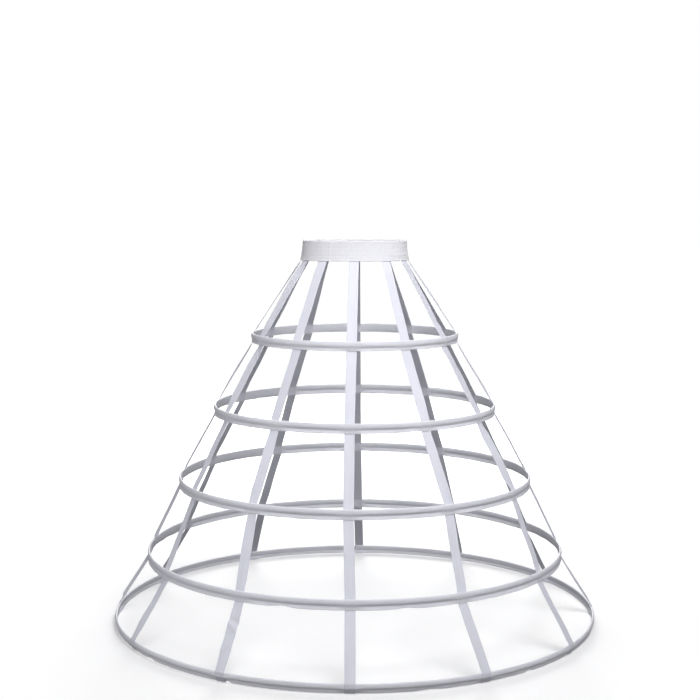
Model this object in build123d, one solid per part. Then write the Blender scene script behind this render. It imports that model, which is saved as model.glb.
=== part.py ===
"""Crinoline cage: five steel hoops in cloth casings, hung by twelve tapes from an elastic waistband.

Units are millimetres. +Z is up, the front of the cage faces -Y and the wearer's left is +X.
The origin is on the floor, on the axis of the hoops, under the middle of the cage.
"""
import os
from math import acos, atan2, cos, degrees, radians, sin

from build123d import *

# Waistband: an oval band of shirred cloth that holds a wide elastic.
total_height = 863.0
waist_width = 236.0
waist_depth = 180.0
waistband_height = 45.0
waistband_flare = 5.5
flare_start = 0.55
waistband_wall = 1.6
gather_count = 60
gather_depth = 0.9
elastic_width = 34.0
elastic_thickness = 1.6

# Hoops: the diameter and the height above the floor are those of the steel's centre line.
hoop_1_diameter = 466.0
hoop_2_diameter = 638.0
hoop_3_diameter = 799.0
hoop_4_diameter = 943.0
hoop_5_diameter = 1094.0
hoop_1_height = 649.0
hoop_2_height = 487.5
hoop_3_height = 325.0
hoop_4_height = 160.0

# Steel: a sheathed spring-steel strip, closed into a ring by a crimped sleeve.
steel_width = 9.0
steel_thickness = 2.6
steel_end_gap = 2.0
joiner_length = 40.0
joiner_wall = 0.4

# Casing: doubled cloth, with a channel for the steel and a flat flange sewn below it.
casing_height = 22.0
casing_wall = 1.1
ridge_bevel = 0.9
flange_thickness = 1.2
casing_lean = 6.0
hem_flange_length = 12.0
hem_flange_turn = 35.0

# Tapes: woven ribbon, sewn to the inside of four hoops and turned round the bottom one.
tape_count = 12
tape_width = 22.0
tape_thickness = 0.6
tape_tuck = 16.0
tape_spread = 6.0
tape_end_turn = 5.0
floor_flat_depth = 0.3

# The casing's ridge is the steel's outline grown by the casing wall, with its edges bevelled.
ridge_width = steel_width + 2 * casing_wall
ridge_thickness = steel_thickness + 2 * casing_wall
ridge_face = ridge_thickness / 2
face_end = ridge_width / 2 - ridge_bevel
flange_reach = casing_height - ridge_width / 2

# The tape under the bottom flange touches the floor, and its lowest corner is pressed flat there.
lean = radians(casing_lean)
hem_turn = radians(hem_flange_turn) - lean
hem_drop = (
    face_end * cos(lean)
    - ridge_face * sin(lean)
    + (hem_flange_length + tape_thickness) * cos(hem_turn)
    + tape_thickness * sin(hem_turn)
)
hoop_5_height = hem_drop - floor_flat_depth

hoop_radii = [
    hoop_1_diameter / 2,
    hoop_2_diameter / 2,
    hoop_3_diameter / 2,
    hoop_4_diameter / 2,
    hoop_5_diameter / 2,
]
hoop_heights = [hoop_1_height, hoop_2_height, hoop_3_height, hoop_4_height, hoop_5_height]
hem_hoop = len(hoop_radii) - 1
waistband_bottom = total_height - waistband_height
waistband_thickness = 2 * waistband_wall + elastic_thickness
flare_height = total_height - flare_start * waistband_height


def band_frame(hoop):
    """The plane of a hoop's section: x runs down the leaning band, y runs out of its face."""
    return Plane(
        origin=(hoop_radii[hoop], 0, hoop_heights[hoop]),
        x_dir=(sin(lean), 0, -cos(lean)),
        z_dir=(0, -1, 0),
    )


def section_point(hoop, down, out):
    """A point of a hoop's section as its distance from the axis and its height."""
    radius = hoop_radii[hoop] + down * sin(lean) + out * cos(lean)
    height = hoop_heights[hoop] - down * cos(lean) + out * sin(lean)
    return radius, height


def casing_outline(hoop):
    """The casing's section with its channel filled: a bevelled ridge, a groove and a flange."""
    block = Rectangle(ridge_width, ridge_thickness)
    ridge = chamfer(block.vertices(), ridge_bevel)
    if hoop == hem_hoop:
        strip = Rectangle(hem_flange_length, flange_thickness, align=(Align.MIN, Align.MAX))
        return ridge + Pos(face_end, ridge_face) * Rot(0, 0, -hem_flange_turn) * strip
    strip = Rectangle(flange_reach - face_end, flange_thickness, align=Align.MIN)
    return ridge + Pos(face_end, -ridge_face) * strip


def ring(hoop, outline, sweep=360.0):
    """A hoop's outline turned round the axis, centred on the back for part of a turn."""
    turned = revolve(band_frame(hoop) * outline, Axis.Z, sweep)
    return Rot(0, 0, 90 - sweep / 2) * turned


def steel_outline(growth=0.0):
    return Rectangle(steel_width + 2 * growth, steel_thickness + 2 * growth)


def joiner_sweep(hoop):
    return degrees(joiner_length / hoop_radii[hoop])


def hoop_steel(hoop):
    """One strip bent to a ring, with its two ends a little apart at the back."""
    strip = ring(hoop, steel_outline())
    gap = Box(steel_end_gap, 4 * steel_width, 4 * steel_width)
    return strip - Pos(0, hoop_radii[hoop], hoop_heights[hoop]) * gap


def steel_joiner(hoop):
    """The flat sleeve crimped over both ends of the strip."""
    wall = steel_outline(joiner_wall) - steel_outline()
    return ring(hoop, wall, joiner_sweep(hoop))


def hoop_casing(hoop):
    casing = ring(hoop, casing_outline(hoop)) - ring(hoop, steel_outline())
    return casing - ring(hoop, steel_outline(joiner_wall), joiner_sweep(hoop))


def on_waist(angle):
    """The place on the waist oval of the tape at an angle round the hoops, both from the front."""
    return angle + tape_spread * sin(radians(2 * angle))


def band_growth(height):
    """How far the waistband stands out beyond its top edge at a height."""
    if height >= flare_height:
        return 0.0
    return waistband_flare * (flare_height - height) / (flare_height - waistband_bottom)


def oval(height, inset):
    """The waist oval at a height, a given distance inside the band's outer face.

    Its line starts and ends midway between two tapes, so that no tape's edge is cut there.
    """
    growth = band_growth(height) - inset
    half_width = waist_width / 2 + growth
    half_depth = waist_depth / 2 + growth
    start = on_waist(1.5 * 360.0 / tape_count) - 90.0
    line = EllipticalCenterArc((0, 0), half_width, half_depth, start, arc_size=360.0)
    return Pos(0, 0, height) * make_face(line)


def gathered_oval(height):
    """The band's outer line, waved in and out by the gathers of the shirred cloth."""
    points = []
    for step in range(2 * gather_count):
        angle = radians(180.0 * step / gather_count)
        growth = band_growth(height) - gather_depth * (step % 2)
        points.append(((waist_width / 2 + growth) * cos(angle), (waist_depth / 2 + growth) * sin(angle)))
    return Pos(0, 0, height) * make_face(Spline(points, periodic=True))


def band_levels(top, bottom):
    """The heights at which the band's wall changes slope, between its two edges."""
    return [top, flare_height, bottom]


def band_core(top, bottom, inset):
    """The inside of the waistband as a solid, out to a distance inside its outer face."""
    return loft([oval(height, inset) for height in band_levels(top, bottom)], ruled=True)


def waist_elastic():
    margin = (waistband_height - elastic_width) / 2
    top = total_height - margin
    bottom = waistband_bottom + margin
    outside = band_core(top, bottom, waistband_wall)
    return outside - band_core(top, bottom, waistband_wall + elastic_thickness)


def waistband_casing(elastic):
    levels = band_levels(total_height, waistband_bottom)
    outside = loft([gathered_oval(height) for height in levels], ruled=True)
    return outside - band_core(total_height, waistband_bottom, waistband_thickness) - elastic


def side_normals(path):
    """The way that each run of a path faces, on the side of the axis for a run that goes down."""
    normals = []
    for start, end in zip(path, path[1:]):
        run = Vector(end[0] - start[0], end[1] - start[1]).normalized()
        normals.append(Vector(run.Y, -run.X))
    return normals


def mitred_offset(path, distance):
    """The inner points of a path moved sideways towards the axis, with their corners mitred."""
    normals = side_normals(path)
    moved = []
    for corner, before, after in zip(path[1:], normals, normals[1:]):
        joint = (before + after) * (distance / (1 + before.dot(after)))
        moved.append((corner[0] + joint.X, corner[1] + joint.Y))
    return moved


def hem_landing(leaving, corner):
    """The outer corner of a tape that runs from a point to lie on the bottom hoop's face."""
    away = (leaving[0] - corner[0], leaving[1] - corner[1])
    span = (away[0] ** 2 + away[1] ** 2) ** 0.5
    angle = atan2(away[1], away[0]) - acos(tape_thickness / span)
    facing = Vector(cos(angle), sin(angle))
    face = Vector(cos(lean), sin(lean))
    joint = (facing + face) * (tape_thickness / (1 + facing.dot(face)))
    return corner[0] + joint.X, corner[1] + joint.Y


def tape_profile():
    """A tape's side view, from the top hoop down to its end turned under the bottom one."""
    path = []
    for hoop in range(hem_hoop):
        path.append(section_point(hoop, -face_end, -ridge_face))
        path.append(section_point(hoop, flange_reach, -ridge_face))
    corner = section_point(hem_hoop, -face_end, ridge_face)
    landing = hem_landing(path[-1], corner)
    path.append(landing)

    inner = mitred_offset(path, tape_thickness)
    level_start = (path[0][0] - tape_thickness / cos(lean), path[0][1])
    ribbon = make_face(Polyline(*path, corner, *inner[::-1], level_start, close=True))
    return ribbon + hem_wrap(corner, landing)


def hem_wrap(corner, landing):
    """The tape round the bottom hoop: down its face, round the flange and up inside it."""
    fold = section_point(hem_hoop, face_end, ridge_face)
    down = Vector(-sin(hem_turn), -cos(hem_turn))
    inward = Vector(-cos(hem_turn), sin(hem_turn))
    outer_edge = Vector(*fold) + down * hem_flange_length
    inner_edge = outer_edge + inward * flange_thickness
    end = inner_edge - down * tape_end_turn
    end_outside = end + inward * tape_thickness
    seat = [corner, fold, *((point.X, point.Y) for point in (outer_edge, inner_edge, end))]
    outside = mitred_offset(seat, -tape_thickness)
    tip = (end_outside.X, end_outside.Y)
    return make_face(Polyline(*seat, tip, *outside[::-1], landing, close=True))


def tape_lower():
    """One tape from the top hoop to the floor, at the front, as wide as the ribbon."""
    sweep = 2 * degrees(tape_width / hoop_radii[0])
    turned = revolve(Plane.XZ * tape_profile(), Axis.Z, sweep)
    centred = Rot(0, 0, -90 - sweep / 2) * turned
    slab = Box(tape_width, 3 * hoop_radii[hem_hoop], 3 * total_height)
    above_floor = Pos(0, 0, 1.5 * total_height) * slab
    return centred & above_floor


def waist_slot(angle):
    """Where a tape leaves the waistband's lower edge, and the way that its face looks there."""
    on_oval = on_waist(angle)
    growth = band_growth(waistband_bottom) - waistband_thickness
    across = waist_width / 2 + growth
    along = waist_depth / 2 + growth
    place = (across * sin(radians(on_oval)), -along * cos(radians(on_oval)))
    face = degrees(atan2(along * sin(radians(on_oval)), across * cos(radians(on_oval))))
    return place, face


def tape_upper(angle):
    """The tab behind the waistband and the free ribbon from there to the top hoop."""
    place, face = waist_slot(angle)
    reach = waistband_thickness + tape_width
    strip = Pos(*place, waistband_bottom) * Rot(0, 0, face) * Rectangle(tape_width, reach)

    behind = waistband_thickness + tape_thickness
    lining = band_core(total_height, waistband_bottom, waistband_thickness)
    lining -= band_core(total_height, waistband_bottom, behind)
    tab = lining & extrude(strip, tape_tuck)

    start = oval(waistband_bottom, waistband_thickness) - oval(waistband_bottom, behind)
    start = start & strip
    seat, height = section_point(0, -face_end, -ridge_face)
    hug = Circle(seat) - Circle(seat - tape_thickness / cos(lean))
    front = Pos(0, -seat) * Rectangle(tape_width, tape_width)
    finish = Pos(0, 0, height) * Rot(0, 0, angle) * (hug & front)
    return tab + loft([start.face(), finish.face()], ruled=True)


def tape(angle, lower):
    return tape_upper(angle) + Rot(0, 0, angle) * lower


def tape_name(index):
    """Tapes are counted from the front, on the wearer's left and right, to the one at the back."""
    if index == 0:
        return "tape_front"
    if 2 * index == tape_count:
        return "tape_back"
    if 2 * index < tape_count:
        return f"tape_left_{index}"
    return f"tape_right_{tape_count - index}"


def write(name, shape):
    solids = shape.solids()
    export_step(solids[0] if len(solids) == 1 else Compound(children=solids), f"parts/{name}.step")
    print(name, len(solids), round(shape.volume))


def main():
    os.makedirs("parts", exist_ok=True)
    elastic = waist_elastic()
    write("waist_elastic", elastic)
    write("waistband_casing", waistband_casing(elastic))
    for hoop in range(len(hoop_radii)):
        write(f"hoop_{hoop + 1}_steel", hoop_steel(hoop))
        write(f"hoop_{hoop + 1}_joiner", steel_joiner(hoop))
        write(f"hoop_{hoop + 1}_casing", hoop_casing(hoop))
    lower = tape_lower()
    for index in range(tape_count):
        angle = 360.0 * index / tape_count
        write(tape_name(index), tape(angle, lower))


main()
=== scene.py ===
"""The looks of a crinoline cage: cloth hoop casings, ribbon tapes and a shirred waistband, in metres.

+Z is up, the front faces -Y. Angles round the cage are measured from the front, towards +X.
"""
from math import ceil, cos, pi, radians, sin
from random import Random

import bpy
import numpy as np
from mathutils import Matrix, Vector


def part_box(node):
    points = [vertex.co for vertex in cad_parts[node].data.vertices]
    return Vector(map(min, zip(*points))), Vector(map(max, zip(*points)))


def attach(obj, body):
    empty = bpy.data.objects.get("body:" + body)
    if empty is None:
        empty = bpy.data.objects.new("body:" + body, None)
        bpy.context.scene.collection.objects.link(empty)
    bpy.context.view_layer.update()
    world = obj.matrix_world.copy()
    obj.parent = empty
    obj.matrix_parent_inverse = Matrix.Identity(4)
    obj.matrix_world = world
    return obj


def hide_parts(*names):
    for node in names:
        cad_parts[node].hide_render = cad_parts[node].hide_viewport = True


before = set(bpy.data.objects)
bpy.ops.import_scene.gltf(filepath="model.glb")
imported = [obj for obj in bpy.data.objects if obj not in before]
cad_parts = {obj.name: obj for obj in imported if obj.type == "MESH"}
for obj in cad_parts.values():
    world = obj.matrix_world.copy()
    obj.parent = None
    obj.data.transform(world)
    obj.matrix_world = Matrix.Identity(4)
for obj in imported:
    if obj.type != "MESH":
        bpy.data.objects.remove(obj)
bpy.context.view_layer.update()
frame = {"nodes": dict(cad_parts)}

MM = 0.001

# The photograph's camera, with its image taken as 700 pixels wide.
IMAGE_SIDE = 700.0
FOCAL_PIXELS = 1369.0
AXIS_PIXEL = 354.7
SENSOR = 36.0
CAMERA_DISTANCE = 3.111
CAMERA_HEIGHT = 0.9336
CAMERA_TURN = radians(1.14)
CAMERA_PITCH = radians(5.89)

# Hoops, tapes and waistband, as in the frame.
HOOPS = 5
TAPES = 12
LEAN = radians(6.0)
STEEL_WIDTH = 9.0 * MM
STEEL_THICKNESS = 2.6 * MM
RIDGE_FACE = 2.4 * MM
RIDGE_EDGE = 5.6 * MM
FACE_END = 4.7 * MM
FLANGE_END = 16.4 * MM
HEM_FLANGE = 12.0 * MM
HEM_FLANGE_TURN = radians(35.0)
FLANGE_THICKNESS = 1.2 * MM
TAPE_WIDTH = 22.0 * MM
TAPE_THICKNESS = 0.6 * MM
TAPE_TUCK = 16.0 * MM
TAPE_SPREAD = radians(6.0)
TAPE_END_TURN = 5.0 * MM
WAISTBAND_FLARE = 5.5 * MM
FLARE_START = 0.55
BAND_THICKNESS = 4.8 * MM

# Cloth and thread.
CASING_CLOTH = 0.42 * MM
SEWN_HALF_WIDTH = 9.0 * MM
SEWN_FADE = 22.0 * MM
THREAD_RADIUS = 0.22 * MM
STITCH_LENGTH = 2.9 * MM
STITCH_PITCH = 3.8 * MM
SEAM_HALF_WIDTH = 8.0 * MM

# How far along each hoop the tapes are sewn from their even places, in millimetres, counted as the
# angles are: the tapes' numbers, and then a row for each hoop. The other tapes are off by a little.
SHIFTED_TAPES = (10, 11, 0, 1, 2, 4, 5, 7, 8)
TAPE_SHIFTS = (
    (-7.0, -5.0, -2.0, -3.6, -4.0, -18.0, -12.0, 0.5, 0.0),
    (-4.8, -4.7, -4.5, -5.4, -4.0, -17.0, -12.5, 3.6, 0.0),
    (0.0, -5.7, -4.5, 2.8, 7.1, -18.0, -11.7, 5.5, 14.0),
    (16.6, 11.8, 0.5, -10.6, -16.2, -17.0, -9.9, 18.5, 23.0),
    (17.3, 19.0, 2.0, -4.4, -24.0, -2.0, 6.7, 7.6, 36.0),
)
CROSSING_WANDER = 2.5


def steel_circle(hoop):
    """The radius and height of a hoop's steel, from its node's box."""
    low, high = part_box(f"hoop_{hoop + 1}_steel")
    outermost = STEEL_WIDTH / 2 * sin(LEAN) + STEEL_THICKNESS / 2 * cos(LEAN)
    return (high.x - low.x) / 2 - outermost, (low.z + high.z) / 2


HOOP_CIRCLES = [steel_circle(hoop) for hoop in range(HOOPS)]
HEM = HOOPS - 1
BAND_LOW, BAND_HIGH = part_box("waistband_casing")
BAND_BOTTOM = BAND_LOW.z
BAND_TOP = BAND_HIGH.z
BAND_HEIGHT = BAND_TOP - BAND_BOTTOM
FLARE_HEIGHT = BAND_TOP - FLARE_START * BAND_HEIGHT
WAIST_HALF_WIDTH = (BAND_HIGH.x - BAND_LOW.x) / 2 - WAISTBAND_FLARE
WAIST_HALF_DEPTH = (BAND_HIGH.y - BAND_LOW.y) / 2 - WAISTBAND_FLARE


# Small helpers.

# What the waves of a random line add up to at its peaks, for each wave.
RING_PEAK = 0.45
RUN_PEAK = 0.6
WELD_GAP = 1e-6


def smooth_step(value):
    """0 up to 0 and 1 from 1 on, with a soft rise between them."""
    value = np.clip(value, 0.0, 1.0)
    return value * value * (3.0 - 2.0 * value)


def ripple(angles, seed, lowest, highest, waves):
    """A smooth random line round a ring, from -1 to 1, with between lowest and highest waves to a turn."""
    draw = Random(seed)
    line = np.zeros_like(angles)
    for _ in range(waves):
        wave = np.sin(draw.randint(lowest, highest) * angles + draw.uniform(0.0, 2 * pi))
        line += wave * draw.uniform(0.5, 1.0)
    return line / (RING_PEAK * waves)


def run_ripple(places, seed, shortest, longest, waves=6):
    """A smooth random line along a length, from -1 to 1, with wavelengths between two lengths."""
    draw = Random(seed)
    line = np.zeros_like(places)
    for _ in range(waves):
        line += np.sin(2 * pi * places / draw.uniform(shortest, longest) + draw.uniform(0.0, 2 * pi))
    return line / (RUN_PEAK * waves)


def ring_angles(steps):
    return 2 * pi * np.arange(steps) / steps


def only_selected(piece):
    bpy.ops.object.select_all(action="DESELECT")
    bpy.context.view_layer.objects.active = piece
    piece.select_set(True)


def apply_modifiers(piece):
    only_selected(piece)
    for modifier in list(piece.modifiers):
        bpy.ops.object.modifier_apply(modifier=modifier.name)


def place_vertices(piece, points):
    piece.data.vertices.foreach_set("co", points.astype(np.float32).ravel())
    piece.data.update()


def at_origin(piece):
    """The piece's place goes into its mesh, and its object to the origin."""
    only_selected(piece)
    bpy.ops.object.transform_apply(location=True, rotation=True, scale=True)


def spline_weights(controls, samples):
    """The weights of a closed smooth line through its control points, one row for each sample."""
    weights = np.zeros((samples, controls))
    for row in range(samples):
        place = row * controls / samples
        first = int(place)
        t = place - first
        basis = (
            -0.5 * t + t * t - 0.5 * t ** 3,
            1.0 - 2.5 * t * t + 1.5 * t ** 3,
            0.5 * t + 2.0 * t * t - 1.5 * t ** 3,
            -0.5 * t * t + 0.5 * t ** 3,
        )
        for step, weight in enumerate(basis):
            weights[row, (first + step - 1) % controls] += weight
    return weights


def crossing(hoop, index):
    """The angle at which a tape is sewn to a hoop, a little off its even place."""
    shift = Random(40 * hoop + index).uniform(-CROSSING_WANDER, CROSSING_WANDER)
    if index in SHIFTED_TAPES:
        shift = TAPE_SHIFTS[hoop][SHIFTED_TAPES.index(index)]
    return 2 * pi * index / TAPES + shift * MM / HOOP_CIRCLES[hoop][0]


def turn_between(first, second):
    """The smallest turn from one angle to another."""
    return (second - first + pi) % (2 * pi) - pi


def sewn_share(hoop, angles):
    """1 where a tape is sewn to a casing, falling to 0 in the free cloth between tapes."""
    away = np.full(angles.shape, np.inf)
    for index in range(TAPES):
        turn = np.abs(turn_between(crossing(hoop, index), angles))
        away = np.minimum(away, turn * HOOP_CIRCLES[hoop][0])
    return 1.0 - smooth_step((away - SEWN_HALF_WIDTH) / SEWN_FADE)


def on_band(hoop, angles, down, out):
    """Points of the leaning band's own section, at angles round the cage from the front."""
    radius, height = HOOP_CIRCLES[hoop]
    away = radius + down * sin(LEAN) + out * cos(LEAN)
    level = height - down * cos(LEAN) + out * sin(LEAN)
    return np.stack([away * np.sin(angles), -away * np.cos(angles), level], axis=-1)


# Materials.

class Shader:
    """A material's nodes, with short words for adding them."""

    def __init__(self, name):
        self.material = bpy.data.materials.new(name)
        self.material.use_nodes = True
        self.tree = self.material.node_tree
        self.surface = self.tree.nodes["Principled BSDF"]

    def add(self, kind, **settings):
        node = self.tree.nodes.new(kind)
        for name, value in settings.items():
            setattr(node, name, value)
        return node

    def join(self, source, target):
        self.tree.links.new(source, target)

    def value(self, operation, first, second):
        """What a math node makes of two values, each a number or a socket."""
        node = self.add("ShaderNodeMath", operation=operation)
        for socket, given in zip(node.inputs, (first, second)):
            if isinstance(given, (int, float)):
                socket.default_value = given
            else:
                self.join(given, socket)
        return node.outputs[0]

    def cloth_place(self, scale):
        """The UV map in metres of cloth, stretched by a scale for each way."""
        uv = self.add("ShaderNodeUVMap")
        mapping = self.add("ShaderNodeMapping")
        mapping.inputs["Scale"].default_value = scale
        self.join(uv.outputs["UV"], mapping.inputs["Vector"])
        return mapping.outputs["Vector"]

    def object_place(self, scale):
        """The object's coordinates in metres, stretched by a scale for each way."""
        place = self.add("ShaderNodeTexCoord")
        mapping = self.add("ShaderNodeMapping")
        mapping.inputs["Scale"].default_value = scale
        self.join(place.outputs["Object"], mapping.inputs["Vector"])
        return mapping.outputs["Vector"]

    def noise(self, place, scale=1.0, detail=3.0, roughness=0.5):
        node = self.add("ShaderNodeTexNoise")
        node.inputs["Scale"].default_value = scale
        node.inputs["Detail"].default_value = detail
        node.inputs["Roughness"].default_value = roughness
        self.join(place, node.inputs["Vector"])
        return node.outputs["Fac"]

    def bands(self, place, direction):
        node = self.add("ShaderNodeTexWave", wave_type="BANDS", bands_direction=direction)
        node.inputs["Scale"].default_value = 1.0
        node.inputs["Distortion"].default_value = 0.0
        self.join(place, node.inputs["Vector"])
        return node.outputs["Fac"]

    def bump(self, height, distance, strength, below=None):
        """A normal for a height of up to a distance in metres, on top of the bump below it."""
        node = self.add("ShaderNodeBump")
        node.inputs["Distance"].default_value = distance
        node.inputs["Strength"].default_value = strength
        self.join(height, node.inputs["Height"])
        if below is not None:
            self.join(below, node.inputs["Normal"])
        return node.outputs["Normal"]

    def tone(self, amount, dark, light, low=0.3, high=0.7):
        """A colour that goes from dark to light as an amount goes from low to high."""
        ramp = self.add("ShaderNodeValToRGB")
        ramp.color_ramp.elements[0].position = low
        ramp.color_ramp.elements[0].color = (*dark, 1.0)
        ramp.color_ramp.elements[1].position = high
        ramp.color_ramp.elements[1].color = (*light, 1.0)
        self.join(amount, ramp.inputs["Fac"])
        return ramp.outputs["Color"]

    def finish(self, colour, normal, roughness, sheen=0.0, metallic=0.0):
        self.join(colour, self.surface.inputs["Base Color"])
        self.join(normal, self.surface.inputs["Normal"])
        if isinstance(roughness, (int, float)):
            self.surface.inputs["Roughness"].default_value = roughness
        else:
            self.join(roughness, self.surface.inputs["Roughness"])
        self.surface.inputs["Sheen Weight"].default_value = sheen
        self.surface.inputs["Sheen Roughness"].default_value = 0.4
        self.surface.inputs["Metallic"].default_value = metallic
        return self.material


WAVE_PERIOD = 2 * pi / 20  # one band of the wave texture, in its own units


def woven(shader, pitch_along, pitch_across):
    """A plain weave's height: warp threads over weft threads, turn about."""
    along = WAVE_PERIOD / pitch_along
    across = WAVE_PERIOD / pitch_across
    place = shader.cloth_place((along, across, 1.0))
    warp = shader.bands(place, "Y")
    weft = shader.bands(place, "X")
    squares = shader.add("ShaderNodeTexChecker")
    squares.inputs["Scale"].default_value = 1.0
    shader.join(shader.cloth_place((1 / pitch_along, 1 / pitch_across, 1.0)), squares.inputs["Vector"])
    over = squares.outputs["Fac"]
    under = shader.value("SUBTRACT", 1.0, over)
    return shader.value("ADD", shader.value("MULTIPLY", warp, over), shader.value("MULTIPLY", weft, under))


def casing_cloth():
    """Smooth white plain-weave cloth, a little shiny, with soft puckers along its length."""
    shader = Shader("casing_cloth")
    weave = woven(shader, 0.00042, 0.00038)
    pucker = shader.noise(shader.cloth_place((70.0, 160.0, 1.0)), detail=3.0)
    crease = shader.noise(shader.cloth_place((14.0, 320.0, 1.0)), detail=4.0, roughness=0.6)
    normal = shader.bump(weave, 0.00007, 0.5)
    normal = shader.bump(pucker, 0.0011, 0.32, normal)
    normal = shader.bump(crease, 0.0007, 0.25, normal)
    mottle = shader.noise(shader.cloth_place((9.0, 60.0, 1.0)), detail=4.0)
    colour = shader.tone(mottle, (0.83, 0.832, 0.90), (0.87, 0.872, 0.94))
    rough = shader.value("MULTIPLY_ADD", mottle, 0.15)
    rough.node.inputs[2].default_value = 0.5
    return shader.finish(colour, normal, rough, sheen=0.15)


def tape_ribbon():
    """White woven ribbon: fine warp streaks along it, a twill across them and firmer edges."""
    shader = Shader("tape_ribbon")
    weave = woven(shader, 0.0005, 0.0004)
    twill = shader.cloth_place((WAVE_PERIOD / 0.0011, WAVE_PERIOD / 0.0011, 1.0))
    diagonal = shader.bands(twill, "DIAGONAL")
    streak = shader.noise(shader.cloth_place((900.0, 6.0, 1.0)), detail=2.0)
    pucker = shader.noise(shader.cloth_place((60.0, 22.0, 1.0)), detail=3.0)
    normal = shader.bump(weave, 0.00006, 0.4)
    normal = shader.bump(diagonal, 0.00005, 0.3, normal)
    normal = shader.bump(streak, 0.0003, 0.3, normal)
    normal = shader.bump(pucker, 0.0012, 0.25, normal)
    colour = shader.tone(streak, (0.71, 0.716, 0.80), (0.78, 0.786, 0.875), 0.25, 0.75)
    return shader.finish(colour, normal, 0.55, sheen=0.2)


def shirred_cloth():
    """The waistband's crinkled cloth: plain weave drawn up into fine upright folds, with painted shade in
    the folds' hollows and painted light on their crests.
    """
    shader = Shader("shirred_cloth")
    weave = woven(shader, 0.0004, 0.0004)
    crinkle = shader.noise(shader.cloth_place((520.0, 120.0, 1.0)), detail=4.0, roughness=0.6)
    fine = shader.noise(shader.cloth_place((1500.0, 500.0, 1.0)), detail=2.0)
    normal = shader.bump(weave, 0.00006, 0.4)
    normal = shader.bump(fine, 0.0003, 0.35, normal)
    normal = shader.bump(crinkle, 0.0009, 0.6, normal)
    # Painted shade and light: the colour follows the crinkles' height, darker in their hollows and lighter
    # on their crests.
    colour = shader.tone(crinkle, (0.82, 0.82, 0.87), (0.885, 0.885, 0.93))
    return shader.finish(colour, normal, 0.65, sheen=0.2)


def sewing_thread():
    """Two-ply polyester thread, a little brighter than the cloth."""
    shader = Shader("sewing_thread")
    ply = shader.bands(shader.object_place((120.0, 120.0, 220.0)), "DIAGONAL")
    fuzz = shader.noise(shader.object_place((1800.0, 1800.0, 1800.0)), detail=2.0)
    normal = shader.bump(ply, 0.00006, 0.6)
    colour = shader.tone(fuzz, (0.80, 0.80, 0.83), (0.88, 0.88, 0.90))
    return shader.finish(colour, normal, 0.42, sheen=0.1)


def sheathed_steel():
    """Milky plastic sheath drawn over the strip."""
    shader = Shader("sheathed_steel")
    flow = shader.noise(shader.object_place((18.0, 18.0, 240.0)), detail=4.0)
    colour = shader.tone(flow, (0.68, 0.69, 0.70), (0.78, 0.79, 0.80))
    normal = shader.bump(flow, 0.0002, 0.3)
    return shader.finish(colour, normal, 0.35)


def joiner_steel():
    """Plated sheet steel with rolling lines."""
    shader = Shader("joiner_steel")
    rolling = shader.noise(shader.object_place((400.0, 400.0, 4000.0)), detail=3.0)
    colour = shader.tone(rolling, (0.46, 0.46, 0.47), (0.62, 0.62, 0.63))
    normal = shader.bump(rolling, 0.0001, 0.3)
    return shader.finish(colour, normal, 0.3, metallic=1.0)


def elastic_webbing():
    """Knitted elastic with fine ribs round the waist."""
    shader = Shader("elastic_webbing")
    ribs = shader.bands(shader.object_place((1.0, 1.0, WAVE_PERIOD / 0.0016)), "Z")
    rubber = shader.noise(shader.object_place((500.0, 500.0, 900.0)), detail=3.0)
    normal = shader.bump(ribs, 0.0003, 0.7)
    colour = shader.tone(rubber, (0.72, 0.72, 0.72), (0.83, 0.83, 0.83))
    return shader.finish(colour, normal, 0.75)


def give_material(piece, material):
    piece.data.materials.clear()
    piece.data.materials.append(material)


# Hoop casings: a closed line of cloth round the steel, down the flange and back up.

# Section points in millimetres, down the band and out of its face: from the top fold down the front
# of the ridge, through the sewn groove to the flange's edge, and back up the inside.
# All five have the same number of points, because the cloth goes from one to another round the hoop.
KICKED_OUT = [
    (-5.6, 0.0), (-5.35, 1.25), (-4.5, 2.1), (-2.9, 2.6), (-0.9, 2.8), (1.3, 2.75), (3.4, 2.4),
    (5.2, 1.65), (6.6, 0.45), (7.7, -0.55), (8.8, -0.85), (10.6, -0.4), (12.6, 0.15), (14.6, 0.65),
    (15.9, 0.85), (16.6, 0.45), (16.5, -0.2), (15.5, -0.6), (13.5, -1.1), (11.3, -1.7), (9.0, -2.1),
    (7.5, -2.15), (5.5, -2.3), (2.8, -2.45), (0.0, -2.45), (-2.6, -2.4), (-4.5, -2.0), (-5.4, -1.15),
]
KICKED_IN = [
    (-5.6, 0.0), (-5.35, 1.25), (-4.5, 2.1), (-2.9, 2.5), (-0.9, 2.6), (1.3, 2.5), (3.4, 2.1),
    (5.2, 1.45), (6.6, 0.8), (7.7, 0.25), (8.8, -0.2), (10.6, -1.1), (12.6, -1.95), (14.6, -2.7),
    (15.9, -3.25), (16.6, -3.9), (16.5, -4.6), (15.5, -4.75), (13.5, -3.8), (11.3, -2.6), (9.4, -1.5),
    (8.1, -1.1), (6.5, -1.6), (4.4, -2.95), (0.8, -3.35), (-2.4, -2.95), (-4.4, -2.25), (-5.4, -1.2),
]
SEWN_FLAT = [
    (-5.6, 0.0), (-5.35, 1.2), (-4.5, 1.95), (-2.9, 2.35), (-0.9, 2.45), (1.3, 2.4), (3.4, 2.15),
    (5.4, 1.65), (7.2, 1.0), (8.9, 0.4), (10.4, -0.05), (11.9, -0.4), (13.3, -0.7), (14.7, -0.95),
    (15.9, -1.1), (16.5, -1.5), (16.5, -2.05), (15.6, -2.35), (13.5, -2.4), (11.3, -2.4), (9.0, -2.4),
    (7.2, -2.4), (5.2, -2.4), (2.8, -2.4), (0.0, -2.4), (-2.6, -2.4), (-4.5, -2.1), (-5.4, -1.2),
]
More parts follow.
